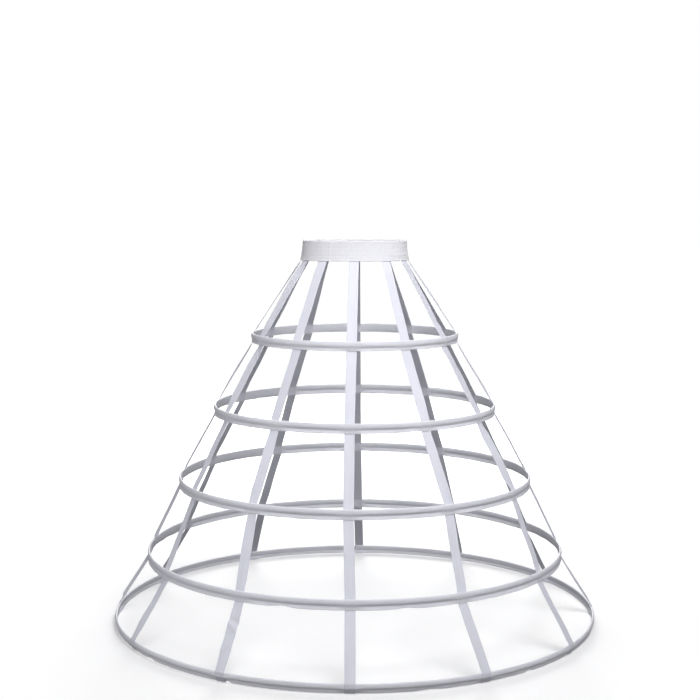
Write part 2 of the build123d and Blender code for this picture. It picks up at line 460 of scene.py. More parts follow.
HEM_FREE = [
    (-5.6, 0.0), (-5.35, 1.25), (-4.5, 2.05), (-2.8, 2.55), (-0.8, 2.75), (1.3, 2.7), (3.2, 2.3),
    (4.8, 1.45), (6.1, 0.25), (7.4, -0.7), (9.0, -1.1), (10.8, -1.3), (12.6, -1.6), (13.8, -2.0),
    (14.2, -2.7), (13.7, -3.3), (12.2, -3.15), (10.4, -2.8), (8.8, -2.4), (7.5, -2.0), (6.6, -1.75),
    (5.9, -1.8), (5.2, -2.1), (3.8, -2.35), (1.4, -2.4), (-1.6, -2.4), (-4.2, -2.25), (-5.35, -1.2),
]
HEM_SEWN = [
    (-5.6, 0.0), (-5.35, 1.2), (-4.6, 1.9), (-2.8, 2.3), (-0.8, 2.36), (1.3, 2.36), (3.2, 2.34),
    (4.8, 2.1), (6.2, 1.25), (7.7, 0.2), (9.5, -1.05), (11.3, -2.3), (12.9, -3.45), (14.0, -4.2),
    (14.2, -4.85), (13.6, -5.15), (12.2, -4.3), (10.4, -3.05), (8.8, -1.95), (7.5, -1.05), (6.6, -0.55),
    (5.9, -0.7), (5.2, -1.7), (3.8, -2.3), (1.4, -2.4), (-1.6, -2.4), (-4.2, -2.25), (-5.35, -1.2),
]
TOP_POINT = 2
GROOVE_POINT = 10
HEM_GROOVE_POINT = 8
FRONT_POINTS = 15
INNER_GROOVE_POINT = 21
CASING_STEP = 4.2 * MM

# Between these pairs of tapes the flange swings inwards, by hoop.
SWUNG_IN = {1: (4, 5, 6), 2: (4, 5, 6), 3: (4, 5, 6, 7)}

# Places where the flange is narrower: hoop counted from 0, angle in degrees, half width along the hoop
# in millimetres, and how much of it stays.
NARROW_PLACES = (
    (3, -16.5, 34.0, 0.62), (3, 13.5, 30.0, 0.70), (1, 24.0, 26.0, 0.82),
    (2, -38.0, 30.0, 0.80), (2, 14.0, 24.0, 0.85), (4, -26.3, 9.0, 0.5),
    (4, 41.5, 16.0, 0.6), (4, 17.0, 34.0, 0.72), (4, -50.0, 22.0, 0.75),
)

# How much of its height each hoop's flange has anywhere else.
FLANGE_SHARES = (0.82, 0.97, 0.97, 1.0, 1.0)

# How much of the free section each hoop's cloth takes between the tapes; the rest stays sewn flat.
SLACK_SHARES = (0.55, 0.85, 1.0, 1.0, 1.0)
SLACK_WANDER = 0.28

# How flat the cloth is under a tape, with what the bottom hoop adds.
SEWN_FLATNESS = 0.82
HEM_FLATTER = 0.18

# Small waves in the cloth: seed, fewest and most waves to a turn, how many are added up, and height.
SLACK_WAVES = (1, 5, 19, 7, 0.5)
EDGE_WAVES = (2, 20, 70, 7, 0.32 * MM)
FLICK_WAVES = (3, 12, 48, 7, 0.55 * MM)
ROLL_WAVES = (4, 6, 40, 7, 0.28 * MM)
PUCKER_WAVES = (5, 120, 260, 9, 0.09 * MM)
PUCKER_HALF_WIDTH = 3.5 * MM
HEM_EDGE_SHARE = 0.5
HEM_FLICK_SHARE = 0.4
SEWN_EDGE_SHARE = 0.2
FLANGE_TOP = 8.0 * MM
FLANGE_REACH = 1.2

# The strip's end over its beginning.
LAP_AFTER_BACK = 31.0 * MM
LAP_LENGTH = 14.0 * MM
LAP_FADE = 1.0 * MM
LAP_RISE = 0.45 * MM


def swing(hoop, angles):
    """1 in the spans whose flange swings inwards, 0 in the others."""
    share = np.zeros_like(angles)
    for span in SWUNG_IN.get(hoop, ()):
        first, last = crossing(hoop, span), crossing(hoop, span + 1)
        middle, half = (first + last) / 2, (last - first) / 2
        share = np.maximum(share, (np.abs(turn_between(middle, angles)) <= half).astype(float))
    return share


def cloth_waves(hoop, angles, seed, lowest, highest, waves, height):
    """A column of small waves in a hoop's cloth, one value for each angle."""
    return height * ripple(angles, 10 * hoop + seed, lowest, highest, waves)[:, None]


def held_flat(hoop, angles, sewn_on):
    """How flat the cloth is held: 1 is as sewn, and 0 is free."""
    share = SLACK_SHARES[hoop]
    slack = share * (0.5 + cloth_waves(hoop, angles, *SLACK_WAVES))
    between = 1.0 - share + SLACK_WANDER * (share - slack)
    return np.clip(SEWN_FLATNESS * sewn_on + (1.0 - sewn_on) * between, 0.0, 1.0)


def flange_share(hoop, angles):
    """How much of its height the flange keeps at each angle."""
    radius = HOOP_CIRCLES[hoop][0]
    stays = np.full_like(angles, FLANGE_SHARES[hoop])
    for place, at, half, share in NARROW_PLACES:
        if place == hoop:
            away = np.abs(turn_between(radians(at), angles)) * radius / (half * MM)
            stays = stays * (1.0 - (1.0 - share) * (1.0 - smooth_step(away)))
    return stays[:, None]


def casing_sections(hoop, angles):
    """The casing's section at each angle: free between the tapes, flat where they are sewn on."""
    sewn_on = sewn_share(hoop, angles)[:, None]
    sewn = held_flat(hoop, angles, sewn_on)
    if hoop == HEM:
        free = np.array(HEM_FREE)[None]
        flat = np.array(HEM_SEWN)[None]
        sewn = np.clip(sewn + HEM_FLATTER * sewn_on, 0.0, 1.0)
    else:
        inwards = swing(hoop, angles)[:, None, None]
        free = np.array(KICKED_IN)[None] * inwards + np.array(KICKED_OUT)[None] * (1.0 - inwards)
        flat = np.array(SEWN_FLAT)[None]
        sewn = np.where(inwards[:, 0] > 0.5, np.maximum(sewn, sewn_on), sewn)
    section = (free * (1.0 - sewn[:, :, None]) + flat * sewn[:, :, None]) * MM
    return puckered(hoop, angles, section[..., 0], section[..., 1], 1.0 - sewn_on)


def puckered(hoop, angles, down, out, loose):
    """The casing's section with its narrow places, its small waves and its lap."""
    below = np.clip((down - FLANGE_TOP) / (FLANGE_END - FLANGE_TOP), 0.0, FLANGE_REACH)
    narrowed = FLANGE_TOP + (down - FLANGE_TOP) * flange_share(hoop, angles)
    down = np.where(down > FLANGE_TOP, narrowed, down)
    edge = cloth_waves(hoop, angles, *EDGE_WAVES)
    flick = cloth_waves(hoop, angles, *FLICK_WAVES)
    roll = cloth_waves(hoop, angles, *ROLL_WAVES)
    pucker = cloth_waves(hoop, angles, *PUCKER_WAVES)
    if hoop == HEM:
        edge, flick = HEM_EDGE_SHARE * edge, HEM_FLICK_SHARE * flick
    down = down + below * edge * (SEWN_EDGE_SHARE + (1.0 - SEWN_EDGE_SHARE) * loose)
    out = out + below ** 2 * flick * loose
    out = out + pucker * np.exp(-((down - FLANGE_TOP) / PUCKER_HALF_WIDTH) ** 2)
    above = np.clip(-down / RIDGE_EDGE, 0.0, 1.0)
    down = down + above * roll * loose
    return down, lap_step(hoop, angles, down, out)


def lap_step(hoop, angles, down, out):
    """The strip's end is lapped over its beginning just past the back tape, one cloth thicker there."""
    radius = HOOP_CIRCLES[hoop][0]
    past = turn_between(pi, angles) * radius - LAP_AFTER_BACK
    lap = smooth_step(past / LAP_FADE + 0.5) * (1.0 - smooth_step((past - LAP_LENGTH) / LAP_FADE))
    front = np.zeros(down.shape[1])
    front[TOP_POINT:FRONT_POINTS] = 1.0
    return out + LAP_RISE * lap[:, None] * front[None, :]


def cloth_strip(name, points, spread):
    """A grid of cloth laid through rows of points, with its cloth coordinates, welded where it closes."""
    rows, columns = points.shape[:2]
    bpy.ops.object.select_all(action="DESELECT")
    bpy.ops.mesh.primitive_grid_add(x_subdivisions=columns - 1, y_subdivisions=rows - 1, size=1.0)
    piece = bpy.context.object
    piece.name = name
    mesh = piece.data
    mesh.name = name
    place_vertices(piece, points.reshape(-1, 3))
    corners = np.zeros(len(mesh.loops), np.int32)
    mesh.loops.foreach_get("vertex_index", corners)
    layer = mesh.uv_layers.active
    layer.data.foreach_set("uv", spread.reshape(-1, 2)[corners].astype(np.float32).ravel())
    bpy.ops.object.mode_set(mode="EDIT")
    bpy.ops.mesh.select_all(action="SELECT")
    bpy.ops.mesh.remove_doubles(threshold=WELD_GAP)
    bpy.ops.object.mode_set(mode="OBJECT")
    return piece


def closed(rows):
    """The same rows with the first one again at their end."""
    return np.concatenate([rows, rows[:1]], axis=0)


def closed_ring(points):
    """Rows of points closed round the cage, in the order that turns their faces outwards."""
    return np.concatenate([points, points[:, :1]], axis=1)[::-1]


def line_lengths(line):
    """The length along a line of points up to each of them."""
    steps = np.linalg.norm(np.diff(line, axis=0), axis=1)
    return np.concatenate([[0.0], np.cumsum(steps)])


def thicken(piece, thickness):
    """The cloth's thickness, laid inside its outer face."""
    wall = piece.modifiers.new("cloth", "SOLIDIFY")
    wall.thickness = thickness
    wall.offset = -1.0
    wall.use_even_offset = True
    apply_modifiers(piece)


def shade_smooth(piece):
    only_selected(piece)
    bpy.ops.object.shade_smooth()


def hoop_casing(hoop, material):
    """One hoop's cloth round its steel, and the breadth of the strip that it is folded from."""
    radius = HOOP_CIRCLES[hoop][0]
    around = TAPES * ceil(2 * pi * radius / (TAPES * CASING_STEP))
    controls = len(SEWN_FLAT)
    angles = ring_angles(around)
    down, out = casing_sections(hoop, angles)
    weights = spline_weights(controls, 2 * controls)
    down, out = closed((down @ weights.T).T), closed((out @ weights.T).T)
    section = line_lengths(np.stack([down[:, 0], out[:, 0]], axis=-1))
    points = closed_ring(on_band(hoop, angles[None, :], down, out))
    along = 2 * pi * radius * np.arange(around + 1) / around
    spread = np.stack(np.meshgrid(along, section[::-1]), axis=-1)
    piece = cloth_strip(f"casing_cloth_{hoop + 1}", points, spread)
    thicken(piece, CASING_CLOTH)
    shade_smooth(piece)
    give_material(piece, material)
    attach(piece, "root")
    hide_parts(f"hoop_{hoop + 1}_casing")
    return piece, section[-1]


# Tapes.

# Where a tape's tuck turns off the waistband's back, as a share of the band's height, and its gaps.
TUCK_TURN = 0.14
TUCK_GAP = 0.2 * MM
TUCK_DROP = 0.3 * MM
TAPE_TOP_INSET = 2.2 * MM

# How far a tape stays flat past the bottom hoop's face, above and below.
FLAT_ABOVE = 0.2 * MM
FLAT_BELOW = 0.1 * MM

# The steps along a tape and across it, and the roundness of its bends.
TAPE_STEP = 2.5 * MM
TAPE_STEPS_ACROSS = 10
TAPE_BEND = 2.5 * MM
BEND_SHARE = 0.45
BEND_STEPS = 4

# A tape's own bow and sway between its seams, with their shortest and longest waves in metres.
BOW = 0.9 * MM
BOW_WAVES = (0.09, 0.30)
SWAY = 0.05
SWAY_WAVES = (0.10, 0.35)
CROWN = 0.25 * MM
RIBBON_THICKNESS = 0.9 * TAPE_THICKNESS
SELVEDGE = 0.15 * MM
SHARP_EDGE = radians(60.0)
SMOOTH_UNDER = radians(50.0)

# A seam's half height and how far below the steel its middle is, how far past it a tape takes to hang
# free, and how soon the two tapes at the sides turn.
SEAM_REACH = 12.0 * MM
SEAM_DROP = 5.5 * MM
BAY_FADE = 30.0 * MM
SIDE_TAPES = (3, 9)
SIDE_FADE = 9.0 * MM

# Creases across a tape, inwards where the depth is above zero: the tape's number, the crease's height,
# its depth and half width, and how much lower it is at one edge than at the other, in millimetres.
CREASES = (
    (11, 109.0, 2.0, 4.5, -3.0), (11, 98.5, -1.9, 5.5, -14.0), (11, 84.0, 0.9, 7.0, 10.0),
    (11, 64.0, -1.2, 8.0, 12.0), (10, 98.0, 0.35, 7.0, 6.0), (10, 60.0, -0.3, 9.0, -8.0),
    (0, 118.0, 0.5, 12.0, 4.0), (0, 70.0, -0.4, 9.0, 6.0), (1, 92.0, -0.5, 10.0, 8.0),
    (2, 250.0, 0.4, 11.0, 6.0), (11, 405.0, -0.5, 12.0, 8.0), (0, 560.0, 0.4, 15.0, 5.0),
    (1, 560.0, 0.3, 12.0, -6.0), (0, 392.0, -0.35, 10.0, 7.0), (10, 250.0, 0.4, 10.0, 9.0),
)

# Ribbons that turn their outer faces a little to the front: number, heights between which, and roll.
ROLLS = (
    (3, 20.0, 160.0, -0.14), (3, 160.0, 480.0, -0.2), (3, 480.0, 820.0, -0.12),
    (9, 20.0, 320.0, 0.36), (9, 320.0, 480.0, 0.22), (9, 480.0, 820.0, 0.14),
    (11, 10.0, 480.0, 0.2), (10, 10.0, 160.0, 0.1), (10, 480.0, 820.0, 0.25),
    (1, 330.0, 640.0, -0.15), (2, 320.0, 480.0, -0.3),
)


def on_waist(angle):
    """The place on the waist oval of the tape at an angle round the hoops."""
    return angle + TAPE_SPREAD * sin(2 * angle)


def band_growth(height):
    """How far the waistband stands out beyond its top edge at a height."""
    share = np.clip((FLARE_HEIGHT - height) / (FLARE_HEIGHT - BAND_BOTTOM), 0.0, 1.0)
    return WAISTBAND_FLARE * share


def band_point(angle, height, inset):
    """A point of the waist oval, and the way along it, at a distance inside the band's outer face."""
    growth = band_growth(height) - inset
    across, deep = WAIST_HALF_WIDTH + growth, WAIST_HALF_DEPTH + growth
    place = Vector((across * sin(angle), -deep * cos(angle), height))
    way = Vector((across * cos(angle), deep * sin(angle), 0.0)).normalized()
    return place, way


def band_place(hoop, angle, down, out):
    """One point of a band, down it and out of its face from its steel."""
    return Vector(on_band(hoop, angle, down, out))


def hem_place(angle, along, out):
    """A point beside the bottom flange: down it from its fold, and out of its outer face."""
    turn = HEM_FLANGE_TURN
    down = FACE_END + along * cos(turn) + out * sin(turn)
    face = RIDGE_FACE - along * sin(turn) + out * cos(turn)
    return band_place(HEM, angle, down, face)


def tape_route(index):
    """The middle of a tape's thickness, corner by corner, with the way that its width runs there."""
    half = TAPE_THICKNESS / 2
    waist = on_waist(2 * pi * index / TAPES)
    route = [
        band_point(waist, BAND_BOTTOM + TAPE_TUCK, BAND_THICKNESS + half),
        band_point(waist, BAND_BOTTOM + TUCK_TURN * BAND_HEIGHT, BAND_THICKNESS + TUCK_GAP),
        band_point(waist, BAND_BOTTOM - TUCK_DROP, TAPE_TOP_INSET),
    ]
    inside = -RIDGE_FACE - half
    for hoop in range(HEM):
        angle = crossing(hoop, index)
        way = Vector((cos(angle), sin(angle), 0.0))
        route.append((band_place(hoop, angle, -FACE_END, inside), way))
        route.append((band_place(hoop, angle, FLANGE_END, inside), way))
    outside = RIDGE_FACE + half
    angle = crossing(HEM, index)
    way = Vector((cos(angle), sin(angle), 0.0))
    places = [
        band_place(HEM, angle, -FACE_END - FLAT_ABOVE, outside),
        band_place(HEM, angle, FACE_END + FLAT_BELOW, outside),
        hem_place(angle, HEM_FLANGE, half),
        hem_place(angle, HEM_FLANGE + half, 0.0),
        hem_place(angle, HEM_FLANGE + half, -FLANGE_THICKNESS),
        hem_place(angle, HEM_FLANGE - half, -FLANGE_THICKNESS - half),
        hem_place(angle, HEM_FLANGE - TAPE_END_TURN, -FLANGE_THICKNESS - half),
    ]
    return route + [(place, way) for place in places]


def walk(route, step, bend):
    """Points along a route with its corners rounded, each with the way of the width there."""
    places = [corner[0] for corner in route]
    ways = [corner[1] for corner in route]
    line, sides = [], []
    for index in range(len(places)):
        if index in (0, len(places) - 1):
            line.append(places[index])
            sides.append(ways[index])
            continue
        before, here, after = places[index - 1], places[index], places[index + 1]
        room = min(bend, BEND_SHARE * (here - before).length, BEND_SHARE * (after - here).length)
        start = here + (before - here).normalized() * room
        end = here + (after - here).normalized() * room
        for part in range(BEND_STEPS + 1):
            t = part / BEND_STEPS
            line.append(start * (1 - t) ** 2 + here * 2 * t * (1 - t) + end * t * t)
            sides.append(ways[index])
    filled, kept = [line[0]], [sides[0]]
    for start, end, first, last in zip(line, line[1:], sides, sides[1:]):
        pieces = max(1, ceil((end - start).length / step))
        for part in range(1, pieces + 1):
            t = part / pieces
            filled.append(start.lerp(end, t))
            kept.append(first.lerp(last, t).normalized())
    return np.array(filled), np.array(kept)


def bay_share(heights, fade=BAY_FADE):
    """1 in the free ribbon between two hoops, falling to 0 where it is sewn."""
    share = smooth_step((BAND_BOTTOM - heights) / fade)
    for hoop in range(HOOPS):
        middle = HOOP_CIRCLES[hoop][1] - (0.0 if hoop == HEM else SEAM_DROP)
        share = share * smooth_step((np.abs(heights - middle) - SEAM_REACH) / fade)
    return share


def tape_creases(index, heights, across):
    """How far each point of a tape is creased inwards: rows for the heights, columns across its width."""
    depth = np.zeros((len(heights), len(across)))
    for tape_number, height, deep, half, slant in CREASES:
        if tape_number == index:
            level = (height + slant * across[None, :]) * MM
            depth += deep * MM * np.exp(-((heights[:, None] - level) / (half * MM)) ** 2)
    return depth


def tape_points(index, across):
    """A tape's points, bowed, turned and creased between its seams, and the length up to each row."""
    line, sides = walk(tape_route(index), TAPE_STEP, TAPE_BEND)
    along = line_lengths(line)
    heights = line[:, 2]
    ahead = np.gradient(line, axis=0)
    ahead /= np.linalg.norm(ahead, axis=1)[:, None]
    face = np.cross(sides, ahead)
    face /= np.linalg.norm(face, axis=1)[:, None]
    free = bay_share(heights)
    bow = BOW * run_ripple(along, 100 + index, *BOW_WAVES) * free
    roll = SWAY * run_ripple(along, 200 + index, *SWAY_WAVES) * free
    turning = bay_share(heights, SIDE_FADE) if index in SIDE_TAPES else free
    for number, lowest, highest, turn in ROLLS:
        if number == index:
            reach = (heights > lowest * MM) & (heights < highest * MM)
            roll = roll + turn * turning * reach
    creases = tape_creases(index, heights, across) * free[:, None]
    crown = CROWN * (1.0 - (2 * across) ** 2)
    raised = bow[:, None] + roll[:, None] * across[None, :] * TAPE_WIDTH + crown[None, :] * free[:, None]
    points = (
        line[:, None, :]
        + sides[:, None, :] * (across[None, :, None] * TAPE_WIDTH)
        + face[:, None, :] * (raised + creases)[:, :, None]
    )
    return points, along


def tape(index, material):
    """One ribbon, from its tuck behind the waistband to its end turned under the hem, and its length."""
    across = np.linspace(-0.5, 0.5, TAPE_STEPS_ACROSS + 1)
    points, along = tape_points(index, across)
    spread = np.stack(np.meshgrid(across * TAPE_WIDTH, along), axis=-1)
    piece = cloth_strip(tape_name(index), points, spread)
    wall = piece.modifiers.new("ribbon", "SOLIDIFY")
    wall.thickness = RIBBON_THICKNESS
    wall.offset = 0.0
    rounding = piece.modifiers.new("selvedge", "BEVEL")
    rounding.width = SELVEDGE
    rounding.segments = 1
    rounding.limit_method = "ANGLE"
    rounding.angle_limit = SHARP_EDGE
    apply_modifiers(piece)
    only_selected(piece)
    bpy.ops.object.shade_smooth_by_angle(angle=SMOOTH_UNDER)
    give_material(piece, material)
    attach(piece, "root")
    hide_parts(cad_tape_name(index))
    return piece, along[-1]


def cad_tape_name(index):
    """The tapes' nodes are counted from the front, on the wearer's left and right."""
    if index == 0:
        return "tape_front"
    if 2 * index == TAPES:
        return "tape_back"
    if 2 * index < TAPES:
        return f"tape_left_{index}"
    return f"tape_right_{TAPES - index}"


def tape_name(index):
    return cad_tape_name(index).replace("tape", "ribbon")


# Waistband.

BAND_AROUND = 840
SHIRRING_ROWS = (0.16, 0.36, 0.56, 0.76)
HEM_ROW = 0.90
ROW_REACH = 0.02

# The folds: seed, fewest and most to a turn, and how many waves are added up. Then their heights. The
# short ones run from one row of stitches to the next, and each space between rows has its own.
SHORT_FOLDS = (70, 125, 9)
SHORT_FOLD_SEED = 310
SHORT_SHARE = 0.6
LONG_FOLDS = (302, 30, 60, 7)
LONG_SHARE = 0.4
FINE_FOLDS = (303, 150, 230, 9)
FINE_LEAN = 0.01
FOLD_HEIGHT = 0.34 * MM
FINE_FOLD_HEIGHT = 0.10 * MM
PRESSED_FLAT = 0.8
ABOVE_FIRST_ROW = 0.2
ROW_DEPTH = 0.32 * MM
EDGE_LIFT = 0.2 * MM
EDGE_SHARE = 0.02

# The band's cloth stands off its elastic, widens downwards and ends in a lip.
CLOTH_STAND_OFF = 0.3 * MM
FLARE_POWER = 1.7
LIP = 0.45 * MM
LIP_START = 0.92
LIP_FADE = 0.06


def band_section():
    """The waistband's section: share of the height, share of the thickness, and which face it is on."""
    top = [(0.0, 0.42, 0.6), (0.006, 0.14, 0.9)]
    front = [(share, 0.0, 1.0) for share in np.linspace(0.03, 0.975, 27)]
    bottom = [(0.997, 0.08, 0.7), (1.0, 0.2, 0.3)]
    back = [
        (share, 1.0 - 0.66 * smooth_step((share - 0.86) / 0.13), -0.4)
        for share in np.linspace(0.97, 0.04, 17)
    ]
    return [*top, *front, *bottom, *back, (0.008, 0.72, -0.2)]


def row_pull(share):
    """How strongly a row of stitches draws the cloth in, at a share of the band's height."""
    rows = (*SHIRRING_ROWS, HEM_ROW)
    return min(1.0, sum(np.exp(-((share - row) / ROW_REACH) ** 2) for row in rows))


def band_surface(angles, share, inset=0.0, face=1.0):
    """Points of the shirred cloth round the waist: fine folds that the rows of stitches press flat."""
    pull = row_pull(share)
    puff = FOLD_HEIGHT * (1.0 - PRESSED_FLAT * pull)
    space = int(share * (len(SHIRRING_ROWS) + 1) + ABOVE_FIRST_ROW)
    folds = ripple(angles, SHORT_FOLD_SEED + space, *SHORT_FOLDS)
    long_folds = ripple(angles, *LONG_FOLDS)
    fine = ripple(angles + FINE_LEAN * share, *FINE_FOLDS)
    wave = puff * (SHORT_SHARE * folds + LONG_SHARE * long_folds) + FINE_FOLD_HEIGHT * fine
    lip = LIP * float(smooth_step((share - LIP_START) / LIP_FADE))
    height = BAND_TOP - share * BAND_HEIGHT
    flare = WAISTBAND_FLARE * share ** FLARE_POWER
    flare = flare * (1.0 - inset) + band_growth(height) * inset
    growth = flare - inset * BAND_THICKNESS - CLOTH_STAND_OFF * (1.0 - 2.0 * inset)
    growth = growth + face * (wave - ROW_DEPTH * pull + lip)
    at_edge = share < EDGE_SHARE or share > 1.0 - EDGE_SHARE
    lift = EDGE_LIFT * long_folds * (1.0 if at_edge else 0.0)
    across, deep = WAIST_HALF_WIDTH + growth, WAIST_HALF_DEPTH + growth
    return np.stack([across * np.sin(angles), -deep * np.cos(angles), height + lift], axis=-1)


def waistband(material):
    """The shirred cloth folded round the elastic, and the girth that it is drawn up to."""
    angles = ring_angles(BAND_AROUND)
    rows = [band_surface(angles, *place) for place in band_section()]
    points = closed_ring(closed(np.array(rows)))
    girth = pi * (WAIST_HALF_WIDTH + WAIST_HALF_DEPTH)
    along = girth * np.arange(BAND_AROUND + 1) / BAND_AROUND
    spread = np.stack(np.meshgrid(along, line_lengths(points[:, 0])), axis=-1)
    piece = cloth_strip("waistband_cloth", points, spread)
    thicken(piece, CASING_CLOTH)
    shade_smooth(piece)
    give_material(piece, material)
    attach(piece, "root")
    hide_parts("waistband_casing")
    return piece, girth


# Sewing.

STITCH_SIDES = 6
STITCH_ROUNDING = 0.6
GROOVE_STEPS = 720
BOX_STEPS = 12

# The boxes of stitches: from where to where down a band, and a tuck's as shares of the tuck.
HEM_BOX = (-3.0 * MM, 3.9 * MM)
CASING_BOX = (-2.6 * MM, 13.4 * MM)
TUCK_BOX_MIDDLE = 0.6
TUCK_BOX_HALF = 0.38


def one_stitch(name):
    """One stitch of thread along X, with its ends rounded over."""
    bpy.ops.object.select_all(action="DESELECT")
    bpy.ops.mesh.primitive_cylinder_add(
        vertices=STITCH_SIDES, radius=THREAD_RADIUS, depth=STITCH_LENGTH,
        location=(STITCH_LENGTH / 2, 0.0, 0.0), rotation=(0.0, pi / 2, 0.0),
    )
    piece = bpy.context.object
    piece.name = name
    piece.data.name = name
    at_origin(piece)
    bpy.ops.object.mode_set(mode="EDIT")
    bpy.ops.mesh.select_all(action="DESELECT")
    bpy.ops.object.mode_set(mode="OBJECT")
    for edge in piece.data.edges:
        first, last = (piece.data.vertices[corner].co.x for corner in edge.vertices)
        edge.select = abs(first - last) < THREAD_RADIUS
    bpy.ops.object.mode_set(mode="EDIT")
    bpy.ops.mesh.bevel(offset=STITCH_ROUNDING * THREAD_RADIUS, segments=1, affect="EDGES")
    bpy.ops.object.mode_set(mode="OBJECT")
    bpy.ops.object.shade_smooth()
    return piece


def stitch_row(name, line):
    """A row of stitches that follows a closed line of points."""
    guide_line = bpy.data.curves.new(f"{name}_guide", "CURVE")
    guide_line.dimensions = "3D"
    spline = guide_line.splines.new("POLY")
    spline.points.add(len(line) - 1)
    spline.points.foreach_set("co", np.column_stack([line, np.ones(len(line))]).astype(np.float32).ravel())
    spline.use_cyclic_u = True
    guide = bpy.data.objects.new(f"{name}_guide", guide_line)
    bpy.context.scene.collection.objects.link(guide)
    length = line_lengths(closed(line))[-1]
    count = max(1, round(length / STITCH_PITCH))
    piece = one_stitch(name)
    repeat = piece.modifiers.new("row", "ARRAY")
    repeat.count = count
    repeat.use_relative_offset = False
    repeat.use_constant_offset = True
    repeat.constant_offset_displace = (length / count, 0.0, 0.0)
    follow = piece.modifiers.new("along", "CURVE")
    follow.object = guide
    follow.deform_axis = "POS_X"
    apply_modifiers(piece)
    bpy.data.objects.remove(guide)
    bpy.data.curves.remove(guide_line)
    return piece


def join(pieces):
    """All the pieces as one, under the first one's name."""
    bpy.ops.object.select_all(action="DESELECT")
    for piece in pieces:
        piece.select_set(True)
    bpy.context.view_layer.objects.active = pieces[0]
    bpy.ops.object.join()
    return pieces[0]


def stitch_box(top, bottom):
    """A box of stitches round a tape, across X and down Y."""
    half = SEAM_HALF_WIDTH
    steps = np.linspace(0.0, 1.0, BOX_STEPS + 1)[:-1]
    sides = (
        [(-half + 2 * half * step, top) for step in steps],
        [(half, top + (bottom - top) * step) for step in steps],
        [(half - 2 * half * step, bottom) for step in steps],
        [(-half, bottom + (top - bottom) * step) for step in steps],
    )
    return np.array([point for side in sides for point in side])


def laid(box, level):
    """A box's points at one level, or each at its own."""
    return np.column_stack([box, np.full(len(box), level)])


def crossing_seam(name, hoop):
    """The box of stitches that holds a tape to a casing, on both faces, in the band's own frame."""
    tape_face = RIDGE_FACE + TAPE_THICKNESS
    if hoop == HEM:
        box = stitch_box(*HEM_BOX)
        outer, inner = tape_face, -RIDGE_FACE
    else:
        box = stitch_box(*CASING_BOX)
        profile = np.array(SEWN_FLAT[:FRONT_POINTS]) * MM
        outer, inner = np.interp(box[:, 1], profile[:, 0], profile[:, 1]), -tape_face
    return join([stitch_row(name, laid(box, outer)), stitch_row(f"{name}_inner", laid(box, inner))])


def crossing_place(hoop, index):
    """The matrix from the band's own frame to where a tape crosses it."""
    radius, height = HOOP_CIRCLES[hoop]
    angle = crossing(hoop, index)
    away = Vector((sin(angle), -cos(angle), 0.0))
    along = Vector((-cos(angle), -sin(angle), 0.0))
    down = away * sin(LEAN) - Vector((0.0, 0.0, cos(LEAN)))
    out = away * cos(LEAN) + Vector((0.0, 0.0, sin(LEAN)))
    place = Matrix((along, down, out)).transposed().to_4x4()
    place.translation = away * radius + Vector((0.0, 0.0, height))
    return place


def seam_at(pattern, place):
    """A copy of a seam, with its own mesh, laid where a matrix says."""
    seam = pattern.copy()
    seam.data = pattern.data.copy()
    bpy.context.scene.collection.objects.link(seam)
    seam.matrix_world = place
    at_origin(seam)
    return seam


def sewing(hoop, material):
    """A casing's groove rows and its twelve boxes, as one piece of thread."""
    angles = ring_angles(GROOVE_STEPS)
    down, out = casing_sections(hoop, angles)
    row_point = HEM_GROOVE_POINT if hoop == HEM else GROOVE_POINT
    groove = on_band(hoop, angles, down[:, row_point], out[:, row_point])
    rows = [stitch_row(f"sewing_{hoop + 1}", groove)]
    if hoop != HEM:
        inside = on_band(hoop, angles, down[:, INNER_GROOVE_POINT], out[:, INNER_GROOVE_POINT])
        rows.append(stitch_row(f"sewing_{hoop + 1}_inside", inside))
    pattern = crossing_seam(f"seam_{hoop + 1}", hoop)
    for index in range(TAPES):
        rows.append(seam_at(pattern, crossing_place(hoop, index)))
    bpy.data.objects.remove(pattern)
    piece = join(rows)
    give_material(piece, material)
    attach(piece, "root")
    return piece


def tuck_seam(index, pattern):
    """The box of stitches that holds a tape's tuck to the inside of the waistband."""
    tape_face = BAND_THICKNESS + TAPE_THICKNESS
    waist = on_waist(2 * pi * index / TAPES)
    middle, way = band_point(waist, BAND_BOTTOM + TUCK_BOX_MIDDLE * TAPE_TUCK, tape_face)
    upper, _ = band_point(waist, BAND_BOTTOM + TAPE_TUCK, tape_face)
    down = (middle - upper).normalized()
    place = Matrix((way, down, way.cross(down))).transposed().to_4x4()
    place.translation = middle
    return seam_at(pattern, place)


def waist_sewing(material):
    """The rows of stitches that hold the waistband's folds, and the boxes on the tapes' tucks."""
    angles = ring_angles(BAND_AROUND)
    rows = []
    for number, share in enumerate((*SHIRRING_ROWS, HEM_ROW)):
        rows.append(stitch_row(f"waist_sewing_{number}", band_surface(angles, share)))
    half = TUCK_BOX_HALF * TAPE_TUCK
    pattern = stitch_row("tuck_seam", laid(stitch_box(-half, half), 0.0))
    rows += [tuck_seam(index, pattern) for index in range(TAPES)]
    bpy.data.objects.remove(pattern)
    piece = join(rows)
    piece.name = "waist_sewing"
    give_material(piece, material)
    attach(piece, "root")
    return piece


# Camera, light and floor.

# Each softbox: name, place, the height it is aimed at, size, spread in degrees and power in watts.
LIGHTS = (
    ("high_key", (0.5, -1.1, 2.6), 0.85, 1.6, 95.0, 14.0),
    ("front", (0.4, -3.6, 1.1), 0.85, 2.0, 95.0, 9.0),
    ("left_fill", (-3.2, -1.6, 0.9), 0.6, 2.0, 180.0, 38.0),
    ("right_fill", (3.2, -1.4, 0.9), 0.6, 2.0, 180.0, 24.0),
    ("back", (0.0, 3.2, 1.7), 0.45, 2.0, 180.0, 85.0),
)
ROOM_LIGHT = 0.05
ROOM_COLOUR = (0.95, 0.96, 1.0, 1.0)
